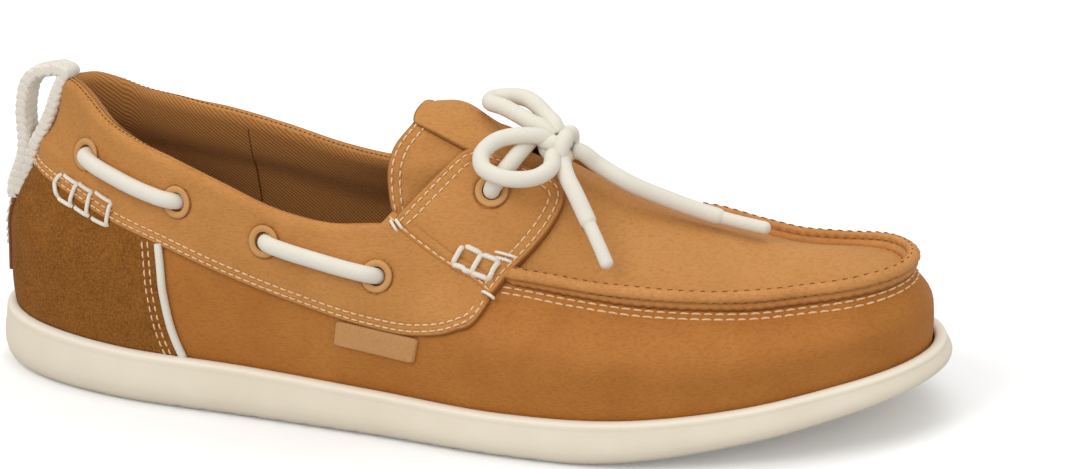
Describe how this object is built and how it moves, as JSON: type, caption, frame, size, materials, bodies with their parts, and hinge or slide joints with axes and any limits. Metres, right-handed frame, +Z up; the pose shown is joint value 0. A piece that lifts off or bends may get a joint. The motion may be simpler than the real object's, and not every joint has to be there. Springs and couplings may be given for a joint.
{
  "type": "boat shoe",
  "caption": "Right lace-up leather boat shoe with a moccasin toe, cup sole, collar lacing through eyelets, tied bow and heel pull loop.",
  "frame": {"origin": "on the floor, under the middle of the shoe's box", "axes": "+X from heel to toe, +Y to the shoe's inner (left) side, +Z up"},
  "size_m": [0.293, 0.1038, 0.0934],
  "materials": {
    "rubber": "matte moulded cream rubber",
    "footbed": "matte brown lining",
    "leather": "waxed tan full-grain leather, satin",
    "suede": "dark brown nubuck, matte",
    "cord": "off-white braided cotton",
    "eyelet": "tan painted, satin",
    "patch": "bare woven patch, matte"
  },
  "bodies": {
    "root": {"sole": "rubber", "insole": "footbed", "upper": "leather", "tongue": "leather", "tongue_patch": "leather", "collar_band": "leather", "saddle_lateral": "leather", "saddle_medial": "leather", "heel_counter": "suede", "heel_strip": "leather", "pull_loop": "cord", "side_label": "patch", "moc_ridge": "leather", "piping_lateral": "cord", "piping_medial": "cord", "eyelet_lateral_1": "eyelet", "eyelet_lateral_2": "eyelet", "eyelet_lateral_3": "eyelet", "eyelet_lateral_4": "eyelet", "eyelet_lateral_5": "eyelet", "eyelet_medial_1": "eyelet", "eyelet_medial_2": "eyelet", "eyelet_medial_3": "eyelet", "eyelet_medial_4": "eyelet", "eyelet_medial_5": "eyelet", "lace_lateral_1": "cord", "lace_lateral_2": "cord", "lace_medial_1": "cord", "lace_medial_2": "cord", "lace_crossing": "cord", "lace_knot": "cord", "lace_loop_lateral": "cord", "lace_loop_medial": "cord", "lace_end_long": "cord", "lace_end_short": "cord"}
  },
  "joints": []
}
